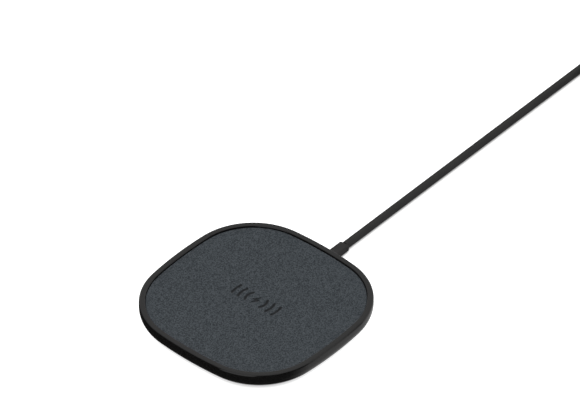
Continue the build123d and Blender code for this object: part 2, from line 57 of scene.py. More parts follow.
# ---------------------------------------------------------------- camera
AZ, EL, ROLL = math.radians(41.051), math.radians(40.682), math.radians(0.0235)
BACK = Vector((math.sin(AZ) * math.cos(EL), -math.cos(AZ) * math.cos(EL), math.sin(EL)))
RIGHT = Vector((math.cos(AZ), math.sin(AZ), 0.0))
UP = BACK.cross(RIGHT)
RIM_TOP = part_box("rim_housing")[1].z
AIM = Vector((-0.034124, 0.062878, RIM_TOP))
FAR = 8.5
camera_data = bpy.data.cameras.new("camera")
camera = bpy.data.objects.new("camera", camera_data)
scene.collection.objects.link(camera)
camera.location = AIM + BACK * FAR
camera.rotation_mode = "QUATERNION"
rolled_right = RIGHT * math.cos(ROLL) + UP * math.sin(ROLL)
rolled_up = UP * math.cos(ROLL) - RIGHT * math.sin(ROLL)
camera.rotation_quaternion = Matrix((rolled_right, rolled_up, BACK)).transposed().to_quaternion()
camera_data.sensor_width = 36.0
camera_data.lens = 36.0 * FAR / 0.26948
camera_data.clip_start = 0.1
camera_data.clip_end = 100.0
camera_data.dof.use_dof = False
scene.camera = camera


# ---------------------------------------------------------------- node graphs
class Graph:
    """Short names for building a node tree."""

    def __init__(self, tree):
        self.tree = tree
        tree.nodes.clear()

    def node(self, kind, inputs=None, **props):
        made = self.tree.nodes.new(kind)
        for key, value in props.items():
            setattr(made, key, value)
        for key, value in (inputs or {}).items():
            self.put(made.inputs[key], value)
        return made

    def put(self, socket, value):
        if isinstance(value, bpy.types.NodeSocket):
            self.tree.links.new(value, socket)
        elif value is not None:
            socket.default_value = value

    def math(self, op, a, b=None, c=None):
        made = self.node("ShaderNodeMath", operation=op)
        for socket, value in zip(made.inputs, (a, b, c)):
            self.put(socket, value)
        return made.outputs[0]

    def dot(self, a, b):
        made = self.node("ShaderNodeVectorMath", operation="DOT_PRODUCT")
        self.put(made.inputs[0], a)
        self.put(made.inputs[1], b)
        return made.outputs["Value"]

    def ramp(self, value, low, high, to_low=0.0, to_high=1.0, smooth=True):
        made = self.node(
            "ShaderNodeMapRange",
            {"Value": value, "From Min": low, "From Max": high, "To Min": to_low, "To Max": to_high},
            interpolation_type="SMOOTHSTEP" if smooth else "LINEAR",
        )
        return made.outputs["Result"]

    def mix(self, factor, a, b):
        made = self.node("ShaderNodeMix", data_type="RGBA")
        self.put(made.inputs["Factor"], factor)
        self.put(made.inputs[6], a)
        self.put(made.inputs[7], b)
        return made.outputs[2]

    def mixf(self, factor, a, b):
        made = self.node("ShaderNodeMix", data_type="FLOAT")
        self.put(made.inputs["Factor"], factor)
        self.put(made.inputs[2], a)
        self.put(made.inputs[3], b)
        return made.outputs[0]

    def noise(self, vector, scale, detail=2.0, roughness=0.5, distortion=0.0):
        return self.node(
            "ShaderNodeTexNoise",
            {"Vector": vector, "Scale": scale, "Detail": detail, "Roughness": roughness, "Distortion": distortion},
        ).outputs["Fac"]

    def join(self, x, y, z=0.0):
        return self.node("ShaderNodeCombineXYZ", {"X": x, "Y": y, "Z": z}).outputs[0]

    def bump(self, height, distance, strength=1.0, normal=None):
        made = self.node("ShaderNodeBump", {"Height": height, "Distance": distance, "Strength": strength})
        if normal is not None:
            self.put(made.inputs["Normal"], normal)
        return made.outputs[0]

    def millimetres(self):
        """Object coordinates in millimetres, and each of them."""
        place = self.node("ShaderNodeTexCoord").outputs["Object"]
        scaled = self.node("ShaderNodeVectorMath", operation="SCALE")
        self.put(scaled.inputs[0], place)
        scaled.inputs["Scale"].default_value = 1000.0
        split = self.node("ShaderNodeSeparateXYZ", {"Vector": scaled.outputs[0]})
        return scaled.outputs[0], split.outputs


def grey(v):
    return (v, v, v, 1.0)


def shade(name):
    made = bpy.data.materials.new(name)
    made.use_nodes = True
    g = Graph(made.node_tree)
    bsdf = g.node("ShaderNodeBsdfPrincipled")
    out = g.node("ShaderNodeOutputMaterial", {"Surface": bsdf.outputs[0]})
    return made, g, bsdf


def moulded(name, color, rough, grain=0.35, depth=0.012, vary=0.12, wear=0.04, ior=1.5, metallic=0.0, coat=0.0, extra=None):
    """Moulded or finished surface: spark texture, cloudy roughness and slight colour drift.
    grain is the texture's size and depth its height, in millimetres."""
    made, g, bsdf = shade(name)
    place, _ = g.millimetres()
    fine = g.noise(place, 1.0 / grain, 3.0, 0.6)
    cloud = g.noise(place, 0.09, 3.0, 0.55, 0.6)
    dust = g.noise(place, 1.9, 4.0, 0.7)
    dark = tuple(c * (1 - vary) for c in color[:3]) + (1.0,)
    light = tuple(min(1.0, c * (1 + vary)) for c in color[:3]) + (1.0,)
    tone = g.mixf(0.45, cloud, dust)
    g.put(bsdf.inputs["Base Color"], g.mix(g.ramp(tone, 0.3, 0.7), dark, light))
    g.put(bsdf.inputs["Roughness"], g.ramp(g.mixf(0.5, cloud, fine), 0.3, 0.7, max(0.02, rough - wear), min(1.0, rough + wear)))
    g.put(bsdf.inputs["Normal"], g.bump(fine, depth * MM, 1.0))
    bsdf.inputs["IOR"].default_value = ior
    bsdf.inputs["Metallic"].default_value = metallic
    bsdf.inputs["Coat Weight"].default_value = coat
    if extra:
        extra(g, bsdf, place)
    return made


# ---------------------------------------------------------------- lead
CORD_D = 3.9 * MM
CX, CY = 0.0315, 0.2500
R_OUT, R_IN = 0.0315, 0.0155
PITCH = 0.0040
TURNS = 8.25
PER_TURN = 16
LOW, HIGH = 0.00195, 0.00585
TIE_ANGLE = math.radians(-90.0)
route = [(0.0, 0.0625, 0.00195)]
step = 2 * math.pi / PER_TURN
count = round(TURNS * PER_TURN)
for k in range(count + 1):
    turn = (k - 0.5) / PER_TURN
    if turn < 4.0:
        radius = R_OUT - PITCH * max(turn, 0.0)
    elif turn < 4.25:
        radius = R_IN
    else:
        radius = R_IN + PITCH * (turn - 4.25)
    rise = min(max((turn - 4.0) / 0.25, 0.0), 1.0)
    rise = rise * rise * (3 - 2 * rise)
    angle = math.pi - turn * 2 * math.pi
    away = math.atan2(math.sin(angle - TIE_ANGLE), math.cos(angle - TIE_ANGLE))
    lift = 0.0008 * math.exp(-((away / 0.42) ** 2)) if turn > 0.3 else 0.0
    reach = min(radius, R_OUT) / math.cos(step / 2)
    route.append(
        (
            CX + reach * math.cos(angle),
            CY + reach * math.sin(angle),
            LOW + (HIGH - LOW) * rise + lift,
        )
    )
route += [
    (0.0500, 0.2815, 0.00585),
    (0.0640, 0.2755, 0.0032),
    (0.0730, 0.2640, 0.0024),
    (0.0760, 0.2505, 0.0039),
    (0.0760, 0.2430, 0.0039),
]
lead_curve = bpy.data.curves.new("lead", "CURVE")
lead_curve.dimensions = "3D"
lead_curve.bevel_depth = CORD_D / 2
lead_curve.bevel_resolution = 7
lead_curve.resolution_u = 10
lead_curve.use_fill_caps = True
line = lead_curve.splines.new("NURBS")
line.points.add(len(route) - 1)
for point, place in zip(line.points, route):
    point.co = (*place, 1.0)
line.order_u = 3
line.use_endpoint_u = True
lead = bpy.data.objects.new("lead", lead_curve)
scene.collection.objects.link(lead)


# ---------------------------------------------------------------- outline
HALF, SIDE_R, CORNER_R = 49.0, 184.5, 33.7
_k = SIDE_R - HALF
_c = (-2 * _k + math.sqrt(4 * _k * _k - 8 * (_k * _k - (SIDE_R - CORNER_R) ** 2))) / 4
_half = math.atan2(_c, _c + _k)


def pillow(count=480):
    """Points of the widest outline and their outward normals, in millimetres, evenly spaced."""
    arcs = []
    for quarter in range(4):
        q = quarter * math.pi / 2
        arcs.append(((-_k * math.cos(q), -_k * math.sin(q)), SIDE_R, q - _half, 2 * _half))
        arcs.append(
            (
                (_c * math.cos(q) - _c * math.sin(q), _c * math.sin(q) + _c * math.cos(q)),
                CORNER_R, q + _half, math.pi / 2 - 2 * _half,
            )
        )
    total = sum(r * sweep for _, r, _, sweep in arcs)
    out = []
    done = 0.0
    each = total / count
    k = 0
    for (x, y), r, start, sweep in arcs:
        while k * each < done + r * sweep - 1e-9:
            angle = start + (k * each - done) / r
            out.append(((x + r * math.cos(angle), y + r * math.sin(angle)), (math.cos(angle), math.sin(angle))))
            k += 1
        done += r * sweep
    return out


def new_object(name, verts, faces, material, smooth_angle=30.0, node=None):
    mesh = bpy.data.meshes.new(name)
    mesh.from_pydata(verts, [], faces)
    mesh.validate()
    bm = bmesh.new()
    bm.from_mesh(mesh)
    bmesh.ops.remove_doubles(bm, verts=bm.verts, dist=1e-7)
    bmesh.ops.recalc_face_normals(bm, faces=bm.faces)
    bm.to_mesh(mesh)
    bm.free()
    mesh.polygons.foreach_set("use_smooth", [True] * len(mesh.polygons))
    mesh.set_sharp_from_angle(angle=math.radians(smooth_angle))
    mesh.materials.append(material)
    made = bpy.data.objects.new(name, mesh)
    scene.collection.objects.link(made)
    return made


def swept(name, profile, material, closed=True, cap_first=False, cap_last=False, count=480, smooth_angle=30.0):
    """Profile of (inset, height) points carried round the outline."""
    around = pillow(count)
    verts, faces = [], []
    for inset, z in profile:
        for (x, y), (nx, ny) in around:
            verts.append(((x - inset * nx) * MM, (y - inset * ny) * MM, z * MM))
    rows = len(profile)
    for i in range(rows if closed else rows - 1):
        a, b = i * count, ((i + 1) % rows) * count
        for j in range(count):
            k = (j + 1) % count
            faces.append((a + j, a + k, b + k, b + j))
    if cap_first:
        faces.append(tuple(range(count))[::-1])
    if cap_last:
        faces.append(tuple(range((rows - 1) * count, rows * count)))
    return new_object(name, verts, faces, material, smooth_angle)


def arc(cx, cy, r, start, end, steps):
    """Points of an arc in the (inset, height) plane, angles in degrees."""
    return [
        (
            cx + r * math.cos(math.radians(start + (end - start) * i / steps)),
            cy + r * math.sin(math.radians(start + (end - start) * i / steps)),
        )
        for i in range(steps + 1)
    ]


def cut(target, cutter):
    """Takes cutter out of target, and removes cutter."""
    change = target.modifiers.new("cut", "BOOLEAN")
    change.operation = "DIFFERENCE"
    change.solver = "EXACT"
    change.object = cutter
    bpy.context.view_layer.objects.active = target
    with bpy.context.temp_override(object=target, active_object=target, selected_objects=[target]):
        bpy.ops.object.modifier_apply(modifier="cut")
    bpy.data.objects.remove(cutter)


def slot_prism(name, width, height, radius, z, y0, y1):
    """Rounded-rectangle prism along Y, for the way out of the strain relief."""
    ring = []
    for cx, cz, start in (
        (width / 2 - radius, height / 2 - radius, 0),
        (-width / 2 + radius, height / 2 - radius, 90),
        (-width / 2 + radius, -height / 2 + radius, 180),
        (width / 2 - radius, -height / 2 + radius, 270),
    ):
        for i in range(9):
            a = math.radians(start + 90 * i / 8)
            ring.append((cx + radius * math.cos(a), z + cz + radius * math.sin(a)))
    verts = [(x * MM, y * MM, h * MM) for y in (y0, y1) for x, h in ring]
    n = len(ring)
    faces = [(i, (i + 1) % n, n + (i + 1) % n, n + i) for i in range(n)]
    faces += [tuple(range(n))[::-1], tuple(range(n, 2 * n))]
    return new_object(name, verts, faces, bpy.data.materials.new("cutter"))


def round_bar(name, x, z, radius, y0, y1):
    """Round bar along Y, for the light pipe's hole."""
    n = 32
    ring = [(x + radius * math.cos(2 * math.pi * i / n), z + radius * math.sin(2 * math.pi * i / n)) for i in range(n)]
    verts = [(a * MM, y * MM, h * MM) for y in (y0, y1) for a, h in ring]
    faces = [(i, (i + 1) % n, n + (i + 1) % n, n + i) for i in range(n)]
    faces += [tuple(range(n))[::-1], tuple(range(n, 2 * n))]
    return new_object(name, verts, faces, bpy.data.materials.new("cutter"))


# ---------------------------------------------------------------- materials
def rim_extra(g, bsdf, place):
    bsdf.inputs["Specular IOR Level"].default_value = 0.5


rim_black = moulded("rim_black", (0.0032, 0.0031, 0.0030), 0.16, grain=0.5, depth=0.0006, wear=0.03)
cover_black = moulded("cover_black", (0.012, 0.012, 0.0125), 0.48, grain=0.28, depth=0.02)
lead_black = moulded("lead_black", (0.0200, 0.0197, 0.0196), 0.70, grain=0.45, depth=0.010, ior=1.22)
foot_black = moulded("foot_black", (0.031, 0.0315, 0.033), 0.66, grain=0.22, depth=0.03, ior=1.45)
inner_black = moulded("inner_black", (0.02, 0.02, 0.021), 0.5, grain=0.3, depth=0.02)
tape_cream = moulded("tape_cream", (0.62, 0.60, 0.50), 0.35, grain=0.8, depth=0.008)
board_green = moulded("board_green", (0.012, 0.085, 0.032), 0.28, grain=0.5, depth=0.006, vary=0.2)
epoxy_black = moulded("epoxy_black", (0.014, 0.014, 0.015), 0.55, grain=0.18, depth=0.012)
capacitor_tan = moulded("capacitor_tan", (0.30, 0.17, 0.08), 0.42, grain=0.2, depth=0.008, vary=0.18)
ferrite_grey = moulded("ferrite_grey", (0.045, 0.045, 0.05), 0.62, grain=0.25, depth=0.02)
film_amber = moulded("film_amber", (0.42, 0.20, 0.02), 0.2, grain=1.2, depth=0.006)
led_white = moulded("led_white", (0.75, 0.75, 0.70), 0.35, grain=0.2, depth=0.004)
pipe_frost = moulded("pipe_frost", (0.55, 0.57, 0.58), 0.3, grain=0.3, depth=0.006)
gap_blue = moulded("gap_blue", (0.20, 0.33, 0.50), 0.75, grain=0.2, depth=0.02)
wire_red = moulded("wire_red", (0.40, 0.02, 0.015), 0.4, grain=0.3, depth=0.006)
insulator_white = moulded("insulator_white", (0.62, 0.62, 0.60), 0.42, grain=0.3, depth=0.008)
plug_black = moulded("plug_black", (0.016, 0.016, 0.016), 0.45, grain=0.3, depth=0.018, ior=1.47)


def brushed(name, color, rough, stretch=(0.35, 9.0, 9.0), depth=0.004):
    """Metal with fine drawn lines."""
    made, g, bsdf = shade(name)
    place, xyz = g.millimetres()
    along = g.join(
        g.math("MULTIPLY", xyz[0], stretch[0]),
        g.math("MULTIPLY", xyz[1], stretch[1]),
        g.math("MULTIPLY", xyz[2], stretch[2]),
    )
    lines = g.noise(along, 1.0, 3.0, 0.65)
    cloud = g.noise(place, 0.3, 3.0, 0.5)
    dark = tuple(c * 0.82 for c in color) + (1.0,)
    light = tuple(min(1.0, c * 1.08) for c in color) + (1.0,)
    g.put(bsdf.inputs["Base Color"], g.mix(g.mixf(0.5, lines, cloud), dark, light))
    g.put(bsdf.inputs["Roughness"], g.ramp(lines, 0.3, 0.7, rough - 0.07, rough + 0.09))
    g.put(bsdf.inputs["Normal"], g.bump(lines, depth * MM))
    bsdf.inputs["Metallic"].default_value = 1.0
    return made


shell_nickel = brushed("shell_nickel", (0.66, 0.65, 0.63), 0.24)
contact_gold = brushed("contact_gold", (0.85, 0.60, 0.24), 0.22)
screw_steel = brushed("screw_steel", (0.42, 0.42, 0.43), 0.34, (3.0, 3.0, 3.0))
sheet_aluminium = brushed("sheet_aluminium", (0.70, 0.71, 0.72), 0.32)


def litz():
    """Enamelled copper bundle, with its strands' twist."""
    made, g, bsdf = shade("litz_copper")
    place, xyz = g.millimetres()
    angle = g.math("ARCTAN2", xyz[1], xyz[0])
    radius = g.math("SQRT", g.math("ADD", g.math("MULTIPLY", xyz[0], xyz[0]), g.math("MULTIPLY", xyz[1], xyz[1])))
    wave = g.math("SINE", g.math("ADD", g.math("MULTIPLY", angle, 220.0), g.math("MULTIPLY", radius, 18.0)))
    tone = g.noise(place, 1.4, 3.0, 0.6)
    g.put(bsdf.inputs["Base Color"], g.mix(g.mixf(0.5, g.ramp(wave, -1.0, 1.0), tone), (0.36, 0.12, 0.04, 1), (0.78, 0.34, 0.14, 1)))
    g.put(bsdf.inputs["Roughness"], g.ramp(tone, 0.3, 0.7, 0.24, 0.38))
    g.put(bsdf.inputs["Normal"], g.bump(wave, 0.03 * MM))
    bsdf.inputs["Metallic"].default_value = 0.85
    return made


litz_copper = litz()


def weave():
    """Fine plain weave in heathered slate yarn, with painted shade in the low valleys between yarns, darker and
    flatter where the mark is pressed in.
    """
    made, g, bsdf = shade("fabric_slate")
    place, xyz = g.millimetres()
    pitch = 0.46
    drift = g.node("ShaderNodeTexNoise", {"Vector": place, "Scale": 0.8, "Detail": 2.0})
    wander = g.node("ShaderNodeVectorMath", operation="SUBTRACT")
    g.put(wander.inputs[0], drift.outputs["Color"])
    wander.inputs[1].default_value = (0.5, 0.5, 0.5)
    moved = g.node("ShaderNodeVectorMath", operation="MULTIPLY_ADD")
    g.put(moved.inputs[0], wander.outputs[0])
    moved.inputs[1].default_value = (0.42, 0.42, 0.0)
    g.put(moved.inputs[2], place)
    axes = g.node("ShaderNodeSeparateXYZ", {"Vector": moved.outputs[0]}).outputs
    u = g.math("DIVIDE", axes[0], pitch)
    v = g.math("DIVIDE", axes[1], pitch)
    ui, vi = g.math("FLOOR", u), g.math("FLOOR", v)
    ripple_u = g.math("ABSOLUTE", g.math("SINE", g.math("MULTIPLY", u, math.pi)))
    ripple_v = g.math("ABSOLUTE", g.math("SINE", g.math("MULTIPLY", v, math.pi)))
    over = g.math("FLOORED_MODULO", g.math("ADD", ui, vi), 2.0)
    # A yarn is highest at the middle of the square where it lies on top.
    height = g.math("MULTIPLY", g.mixf(over, ripple_u, ripple_v), g.mixf(over, ripple_v, ripple_u))
    height = g.math("POWER", g.math("MAXIMUM", height, 0.0001), 0.6)
    fibre = g.noise(place, 5.5, 3.0, 0.7)
    # Melange: each yarn changes tone along its length.
    warp = g.noise(g.join(g.math("MULTIPLY", ui, 3.7), g.math("MULTIPLY", axes[1], 0.8)), 1.0, 2.0, 0.6)
    weft = g.noise(g.join(g.math("MULTIPLY", axes[0], 0.8), g.math("MULTIPLY", vi, 3.7), 9.0), 1.0, 2.0, 0.6)
    yarn = g.mixf(over, warp, weft)
    cloud = g.noise(place, 0.35, 3.0, 0.55)
    tone = g.math("ADD", g.math("MULTIPLY", yarn, 0.62), g.math("ADD", g.math("MULTIPLY", fibre, 0.22), g.math("MULTIPLY", cloud, 0.16)))
    tone = g.ramp(tone, 0.30, 0.70, smooth=False)
    # Heather: flecks of paler and darker fibre, yarn by yarn.
    fleck = g.node("ShaderNodeTexWhiteNoise", {"Vector": g.join(ui, vi, 3.0)}, noise_dimensions="3D").outputs["Value"]
    tone = g.mixf(0.68, tone, fleck)
    press = g.node("ShaderNodeAttribute", attribute_name="press").outputs["Fac"]
    # Painted shade: the base colour falls to 0.62 of itself in the low valleys between yarns.
    painted_valley_shade = g.mixf(height, 0.62, 1.0)
    base = g.node("ShaderNodeVectorMath", operation="SCALE")
    g.put(base.inputs[0], g.mix(tone, (0.0088, 0.0121, 0.0150, 1), (0.0634, 0.0724, 0.0805, 1)))
    g.put(base.inputs["Scale"], g.math("MULTIPLY", painted_valley_shade, g.mixf(press, 1.0, 0.20)))
    g.put(bsdf.inputs["Base Color"], base.outputs[0])
    g.put(bsdf.inputs["Roughness"], g.mixf(press, 0.92, 0.6))
    bsdf.inputs["IOR"].default_value = 1.35
    bsdf.inputs["Specular IOR Level"].default_value = 0.25
    bsdf.inputs["Sheen Weight"].default_value = 0.04
    bsdf.inputs["Sheen Roughness"].default_value = 0.5
    relief = g.math("ADD", g.math("MULTIPLY", height, g.mixf(press, 1.0, 0.35)), g.math("MULTIPLY", fibre, 0.5))
    g.put(bsdf.inputs["Normal"], g.bump(relief, 0.07 * MM, 0.8))
    return made


fabric_slate = weave()


def strap():
    """Hook-and-loop strap: a fuzzy pile."""
    made, g, bsdf = shade("strap_pile")
    place, xyz = g.millimetres()
    pile = g.noise(place, 3.2, 4.0, 0.75)
    cloud = g.noise(place, 0.5, 2.0, 0.5)
    g.put(bsdf.inputs["Base Color"], g.mix(g.mixf(0.4, pile, cloud), (0.006, 0.006, 0.0065, 1), (0.030, 0.030, 0.031, 1)))
    bsdf.inputs["Roughness"].default_value = 0.95
    bsdf.inputs["Sheen Weight"].default_value = 0.25
    g.put(bsdf.inputs["Normal"], g.bump(pile, 0.12 * MM))
    return made


strap_pile = strap()

# ---------------------------------------------------------------- CAD nodes' materials
finish_of = {
    "rim_housing": rim_black, "bottom_cover": cover_black, "top_plate": inner_black,
    "foot_mat": foot_black, "foot_adhesive": tape_cream, "fabric_adhesive": tape_cream,
    "fabric_top": fabric_slate, "charging_coil": litz_copper, "coil_leads": litz_copper,
    "coil_tape": tape_cream, "ferrite_sheet": ferrite_grey, "ferrite_adhesive": tape_cream,
    "insulation_film": film_amber, "temperature_sensor": epoxy_black, "circuit_board": board_green,
    "controller_chip": epoxy_black, "power_transistors": epoxy_black,
    "resonant_capacitors": capacitor_tan, "filter_inductor": ferrite_grey,
    "bulk_capacitors": capacitor_tan, "chip_resistors": epoxy_black, "status_led": led_white,
    "light_pipe": pipe_frost, "heat_spreader": sheet_aluminium, "thermal_pad": gap_blue,
    "cover_screws": screw_steel, "board_screws": screw_steel, "clamp_screws": screw_steel,
    "strain_relief": lead_black, "supply_wires": wire_red, "cable_clamp": inner_black,
    "power_cord": lead_black, "cord_coil": lead_black, "cord_tail": lead_black,
    "cord_tie": strap_pile, "usb_plug_body": plug_black, "usb_plug_shell": shell_nickel,
    "usb_plug_tongue": insulator_white, "usb_plug_contacts": contact_gold,
}
for name, obj in nodes.items():
    for s in obj.material_slots:
        s.link = "OBJECT"
        s.material = finish_of[name]

lead_curve.materials.append(lead_black)
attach(lead, "root")
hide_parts("power_cord", "cord_coil", "cord_tail")

# ---------------------------------------------------------------- rim housing
TOP = RIM_TOP / MM
BAND = 2.95
rim_profile = (
    [(BAND, 8.1), (BAND, TOP - 0.4)]
    + arc(BAND - 0.4, TOP - 0.4, 0.4, 0, 90, 8)[1:]
    + arc(0.75, TOP - 0.75, 0.75, 90, 180, 18)
    + arc(6.3, 7.7, 6.3, 180, 229.6, 22)
    + [(2.34, 2.86), (2.46, 2.82), (5.0, 2.82)]
    + arc(6.3, 6.9, 4.3, 250.5, 180, 12)
    + [(2.0, 7.1), (4.6, 7.1), (4.6, 8.1)]
)
rim = swept("rim", rim_profile, rim_black, smooth_angle=24.0)
cut(rim, slot_prism("way_out", 6.14, 3.94, 1.6, 1.95, 40.0, 52.0))
cut(rim, round_bar("pipe_hole", 12.0, 5.5, 0.85, 43.0, 52.0))
rim.data.set_sharp_from_angle(angle=math.radians(24.0))
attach(rim, "root")
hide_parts("rim_housing")

# ---------------------------------------------------------------- foot mat
FOOT_IN, FOOT_T = 8.6, 1.3
foot_profile = [(FOOT_IN, FOOT_T), (FOOT_IN, 0.3)] + arc(FOOT_IN + 0.3, 0.3, 0.3, 180, 270, 6)[1:]
for groove in (11.6, 14.4):
    foot_profile += arc(groove - 0.15, 0.15, 0.15, 270, 360, 3)
    foot_profile += [(groove, 0.42), (groove + 0.12, 0.5), (groove + 0.88, 0.5), (groove + 1.0, 0.42)]
    foot_profile += arc(groove + 1.15, 0.15, 0.15, 180, 270, 3)
foot_profile.append((18.2, 0.0))
foot = swept("foot", foot_profile, foot_black, closed=False, cap_first=True, cap_last=True, smooth_angle=35.0)
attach(foot, "root")
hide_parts("foot_mat")

# ---------------------------------------------------------------- fabric
FABRIC_EDGE = 3.1
FABRIC_LOW, FABRIC_HIGH = 9.2, 9.7


def inside(poly, x, y):
    hit = False
    for (x0, y0), (x1, y1) in zip(poly, poly[1:] + poly[:1]):
        if (y0 > y) != (y1 > y) and x < (x1 - x0) * (y - y0) / (y1 - y0) + x0:
            hit = not hit
    return hit


def gap_to(poly, x, y):
    best = 1e9
    for (x0, y0), (x1, y1) in zip(poly, poly[1:] + poly[:1]):
        dx, dy = x1 - x0, y1 - y0
        t = max(0.0, min(1.0, ((x - x0) * dx + (y - y0) * dy) / (dx * dx + dy * dy)))
        best = min(best, math.hypot(x - x0 - t * dx, y - y0 - t * dy))
    return best


BOLT = [(1.15, 3.5), (-1.95, -0.55), (-0.2, -0.55), (-1.15, -3.5), (1.95, 0.55), (0.2, 0.55)]
WAVES = [(5.3, 34.0), (8.9, 21.0), (12.5, 15.0)]


def pressed(x, y):
    """How far the mark is pressed in, 0 to 1: a bolt between three short waves a side."""
    if abs(x) > 13.8 or abs(y) > 4.0:
        return 0.0
    d = gap_to(BOLT, x, y)
    if inside(BOLT, x, y):
        d = -d
    r, a = math.hypot(x, y), math.atan2(y, abs(x))
    for radius, half in WAVES:
        limit = math.radians(half)
        b = max(-limit, min(limit, a))
        d = min(d, math.hypot(r * math.cos(a) - radius * math.cos(b), r * math.sin(a) - radius * math.sin(b)) - 0.64)
    t = max(0.0, min(1.0, 0.5 - d / 0.28))
    return t * t * (3 - 2 * t)


def fabric_piece():
    sectors = 720
    around = pillow(sectors)
    shares = [0.0]
    reach = 45.9
    inner = 14.4
    rings = 72
    for i in range(1, rings + 1):
        shares.append(inner / reach * i / rings)
    outer = 26
    for i in range(1, outer + 1):
        shares.append(inner / reach + (1 - inner / reach) * i / outer)
    shares = shares[:-1]
    verts, press = [(0.0, 0.0, 0.0)], [0.0]
    edge = [((x - FABRIC_EDGE * nx), (y - FABRIC_EDGE * ny), nx, ny) for (x, y), (nx, ny) in around]
    roll = 0.42

    def top(x, y):
        p = pressed(x, y)
        return FABRIC_HIGH - 0.26 * p, p

    z, p = top(0.0, 0.0)
    verts[0], press[0] = (0.0, 0.0, z * MM), p
    for share in shares[1:]:
        for x, y, nx, ny in edge:
            px, py = (x - roll * nx) * share, (y - roll * ny) * share
            z, p = top(px, py)
            verts.append((px * MM, py * MM, z * MM))
            press.append(p)
    rolled = [(roll - roll * math.sin(math.radians(a)), FABRIC_HIGH - roll + roll * math.cos(math.radians(a))) for a in (0, 15, 30, 45, 60, 75, 90)]
    rolled.append((0.0, FABRIC_LOW))
    for inset, z in rolled:
        for x, y, nx, ny in edge:
            verts.append(((x - inset * nx) * MM, (y - inset * ny) * MM, z * MM))
            press.append(0.0)
    under = len(verts)
    for share in (0.66, 0.33):
        for x, y, nx, ny in edge:
            verts.append((x * share * MM, y * share * MM, FABRIC_LOW * MM))
            press.append(0.0)
    verts.append((0.0, 0.0, FABRIC_LOW * MM))
    press.append(0.0)
    faces = [(0, 1 + j, 1 + (j + 1) % sectors) for j in range(sectors)]
    loops = (len(verts) - 2) // sectors
    for i in range(loops - 1):
        a, b = 1 + i * sectors, 1 + (i + 1) * sectors
        for j in range(sectors):
            k = (j + 1) % sectors
            faces.append((a + j, b + j, b + k, a + k))
    last = 1 + (loops - 1) * sectors
    for j in range(sectors):
        faces.append((len(verts) - 1, last + (j + 1) % sectors, last + j))
    mesh = bpy.data.meshes.new("fabric")
    mesh.from_pydata(verts, [], faces)
    mesh.polygons.foreach_set("use_smooth", [True] * len(mesh.polygons))
    attribute = mesh.attributes.new("press", "FLOAT", "POINT")
    attribute.data.foreach_set("value", press)
    mesh.materials.append(fabric_slate)
    made = bpy.data.objects.new("fabric", mesh)
    scene.collection.objects.link(made)
    return made


fabric = fabric_piece()
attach(fabric, "root")
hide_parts("fabric_top")

# ---------------------------------------------------------------- strap round the coil
def strap_piece():
    """A strap that goes once round the turns, and over its own start on top."""
    yc, zc = CY - 0.02325, 0.00465
    path = []
    hy, hz, r = 0.0112, 0.00425, 0.0022
    corners = [(hy - r, hz - r, 0), (-hy + r, hz - r, 90), (-hy + r, -hz + r, 180), (hy - r, -hz + r, 270)]
    for cy, cz, start in corners:
        for i in range(7):
            a = math.radians(start + 15 * i)
            path.append((yc + cy + r * math.cos(a), zc + cz + r * math.sin(a)))
    # Second layer, over the top.
    lap = 0.0009
    path.append((yc + hy - r + (r + lap * 0.3) * math.cos(0.0), zc + hz - r))
    for i in range(1, 7):
        a = math.radians(15 * i)
        grow = lap * min(1.0, 0.3 + i / 6)
        path.append((yc + hy - r + (r + grow) * math.cos(a), zc + hz - r + (r + grow) * math.sin(a)))
    path.append((yc + 0.002, zc + hz + lap))
    path.append((yc - 0.0065, zc + hz + lap))
    half, thick = 0.005, 0.00072
    verts, faces = [], []
    for i, (y, z) in enumerate(path):
        before, after = path[max(0, i - 1)], path[min(len(path) - 1, i + 1)]
        t = Vector((after[0] - before[0], after[1] - before[1])).normalized()
        n = Vector((t.y, -t.x))
        # Rounded ends at the strap's free end.
        narrow = half if i < len(path) - 1 else half * 0.8
        for side, out in ((-1, 0), (-1, 1), (1, 1), (1, 0)):
            verts.append((CX + side * narrow, y + n.x * thick * (out - 0.5), z + n.y * thick * (out - 0.5)))
    for i in range(len(path) - 1):
        a, b = 4 * i, 4 * i + 4
        for j in range(4):
            k = (j + 1) % 4
            faces.append((a + j, a + k, b + k, b + j))
    faces += [(3, 2, 1, 0), tuple(range(len(verts) - 4, len(verts)))]
    made = new_object("strap", verts, faces, strap_pile, 40.0)
    soft = made.modifiers.new("edges", "BEVEL")
    soft.width = 0.0002
    soft.segments = 2
    soft.limit_method = "ANGLE"
    return made


strap_loop = strap_piece()
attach(strap_loop, "root")
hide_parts("cord_tie")

# ---------------------------------------------------------------- studio
floor_material, g, bsdf = shade("studio_floor")
place, _ = g.millimetres()
paper = g.noise(place, 0.02, 3.0, 0.5)
g.put(bsdf.inputs["Base Color"], g.mix(paper, grey(0.40), grey(0.42)))
bsdf.inputs["Roughness"].default_value = 0.9
bsdf.inputs["Specular IOR Level"].default_value = 0.0
through = g.node("ShaderNodeBsdfTransparent")
seen_from = g.node("ShaderNodeNewGeometry").outputs["Backfacing"]
# Painted contact shadow: the floor's glow is dimmed close under the lead by an ambient-occlusion factor, and under the
# pad by a ramp on how far in from its outline the floor is.
lead_painted_shadow = g.node("ShaderNodeAmbientOcclusion", {"Distance": 5.0 * MM}, samples=16).outputs["AO"]
_, (fx, fy, _) = g.millimetres()
ax, ay = g.math("ABSOLUTE", fx), g.math("ABSOLUTE", fy)


def reach_from(x, y):
    return g.math("SQRT", g.math("ADD", g.math("MULTIPLY", x, x), g.math("MULTIPLY", y, y)))


